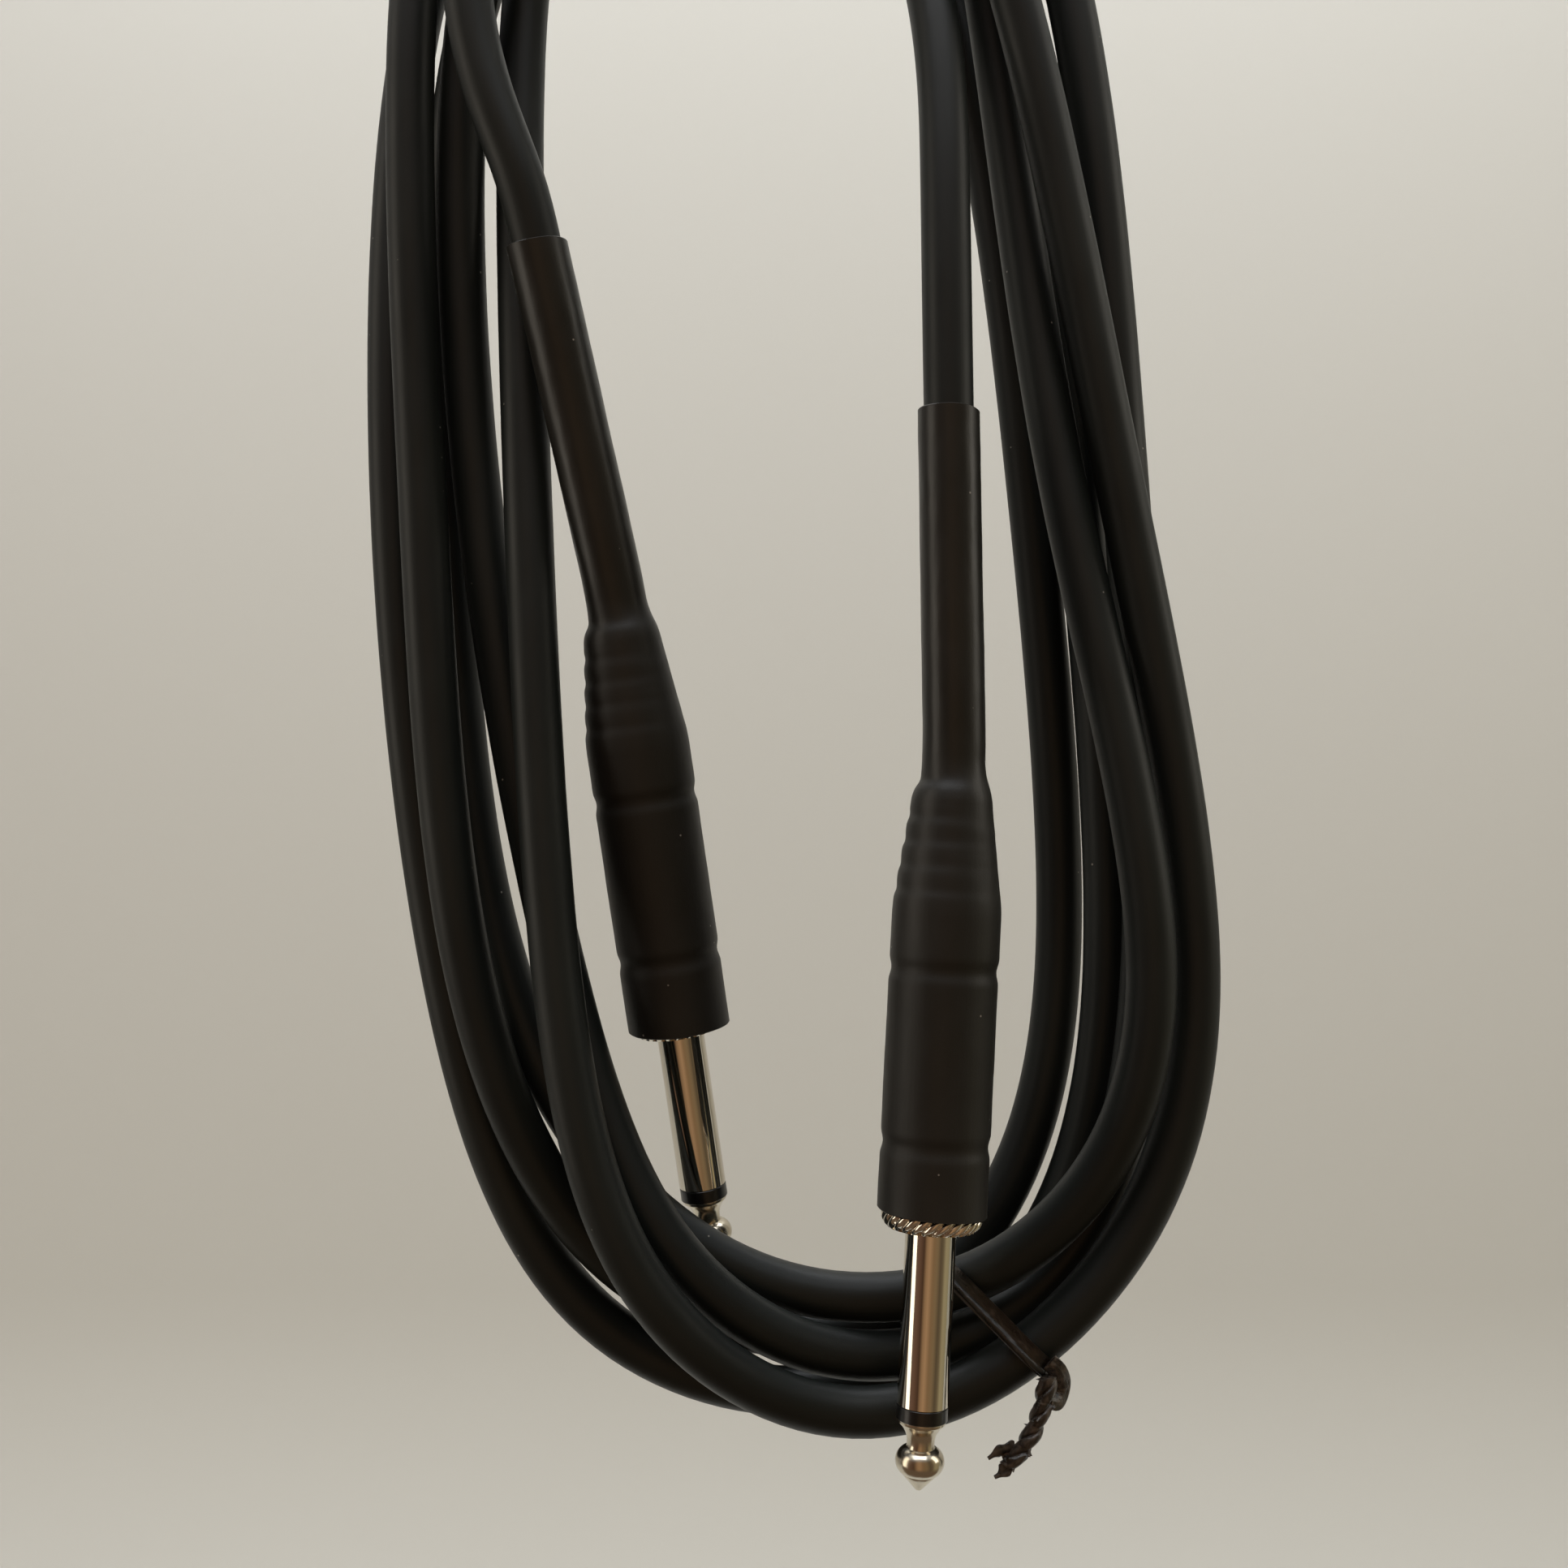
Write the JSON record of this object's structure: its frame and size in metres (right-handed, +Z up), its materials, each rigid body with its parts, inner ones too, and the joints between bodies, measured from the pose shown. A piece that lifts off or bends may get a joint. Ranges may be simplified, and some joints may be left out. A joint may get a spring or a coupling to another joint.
{
  "type": "instrument cable",
  "caption": "Coiled audio lead with a straight 6.35 mm two-pole plug on each end, heat-shrunk barrels and a twist tie round the loops.",
  "frame": {"origin": "where the loops hang on a peg, under the top of the coil", "axes": "+X across the loops, +Y away from the front, +Z up"},
  "size_m": [0.1147, 0.0345, 0.249],
  "materials": {
    "jacket": "satin",
    "sleeving": "semi-gloss",
    "nickel": "polished",
    "insulator": "gloss",
    "fibre": "matte",
    "tinned": "satin",
    "liner": "satin",
    "core": "satin",
    "copper": "bright",
    "solder": "satin",
    "tie_plastic": "semi-gloss",
    "tie_steel": "satin"
  },
  "bodies": {
    "root": {"coil": "jacket", "lead_left": "jacket", "lead_right": "jacket", "tip_left": "nickel", "tip_right": "nickel", "front_insulator_left": "insulator", "front_insulator_right": "insulator", "sleeve_left": "nickel", "sleeve_right": "nickel", "washer_left": "fibre", "washer_right": "fibre", "tip_lug_left": "tinned", "tip_lug_right": "tinned", "ground_lug_left": "tinned", "ground_lug_right": "tinned", "barrel_left": "nickel", "barrel_right": "nickel", "liner_left": "liner", "liner_right": "liner", "shrink_left": "sleeving", "shrink_right": "sleeving", "cable_end_left": "jacket", "cable_end_right": "jacket", "core_left": "core", "core_right": "core", "pigtail_left": "copper", "pigtail_right": "copper", "solder_tip_left": "solder", "solder_tip_right": "solder", "solder_ground_left": "solder", "solder_ground_right": "solder", "tie_cover": "tie_plastic", "tie_wire": "tie_steel"}
  },
  "joints": []
}
